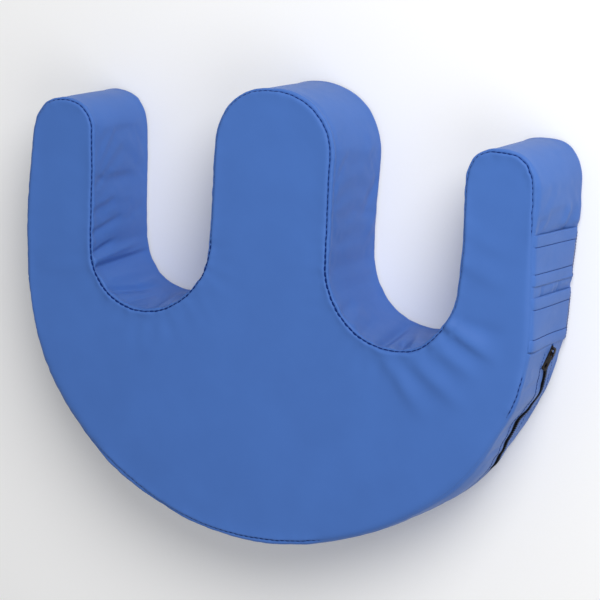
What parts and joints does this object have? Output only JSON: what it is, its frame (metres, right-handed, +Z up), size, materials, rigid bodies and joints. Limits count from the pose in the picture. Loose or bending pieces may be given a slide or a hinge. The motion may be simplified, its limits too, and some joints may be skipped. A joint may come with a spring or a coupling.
{
  "type": "patient turning pad",
  "caption": "W-shaped foam turning pad in a zipped, wipe-clean cover, with rounded prongs, a round rocker edge and hand straps on both sides.",
  "frame": {"origin": "on the ground under the middle of the pad's width and length, with the pad lying on its back panel", "axes": "+Z up, out of the front face; +Y towards the prongs, so the round rocker edge is at -Y; +X towards the pad's right side as seen from the front with the prongs up"},
  "size_m": [0.6164, 0.4974, 0.12],
  "materials": {
    "cover_fabric": "satin",
    "strap_fabric": "satin",
    "seam_thread": "matte",
    "foam": "matte",
    "zip_tape": "matte",
    "zip_coil": "satin",
    "zip_metal": "satin"
  },
  "bodies": {
    "pad": {"foam_core": "foam", "front_panel": "cover_fabric", "back_panel": "cover_fabric", "prong_band": "cover_fabric", "zip_band_front": "cover_fabric", "zip_band_back": "cover_fabric", "front_seam_thread": "seam_thread", "back_seam_thread": "seam_thread", "right_upper_strap": "strap_fabric", "right_upper_strap_thread_low": "seam_thread", "right_upper_strap_thread_high": "seam_thread", "right_lower_strap": "strap_fabric", "right_lower_strap_thread_low": "seam_thread", "right_lower_strap_thread_high": "seam_thread", "left_upper_strap": "strap_fabric", "left_upper_strap_thread_low": "seam_thread", "left_upper_strap_thread_high": "seam_thread", "left_lower_strap": "strap_fabric", "left_lower_strap_thread_low": "seam_thread", "left_lower_strap_thread_high": "seam_thread", "zip_tape_front": "zip_tape", "zip_coil_front": "zip_coil", "zip_top_stop_front": "zip_metal", "zip_topstitch_front": "seam_thread", "zip_tape_back": "zip_tape", "zip_coil_back": "zip_coil", "zip_top_stop_back": "zip_metal", "zip_topstitch_back": "seam_thread", "zip_bottom_stop": "zip_metal"},
    "slider": {"zip_slider": "zip_metal"},
    "pull": {"zip_pull": "zip_metal"}
  },
  "joints": [
    {"name": "zip_slide", "type": "hinge", "parent": "pad", "child": "slider", "pos_m": [0, 0.05575, 0.043], "axis": [0, 0, 1], "range_deg": [-150.5, 0]},
    {"name": "pull_swing", "type": "hinge", "parent": "slider", "child": "pull", "pos_m": [0.30118, -0.00531, 0.043], "axis": [0.0971, 0.4905, 0.866], "range_deg": [0, 120]}
  ]
}
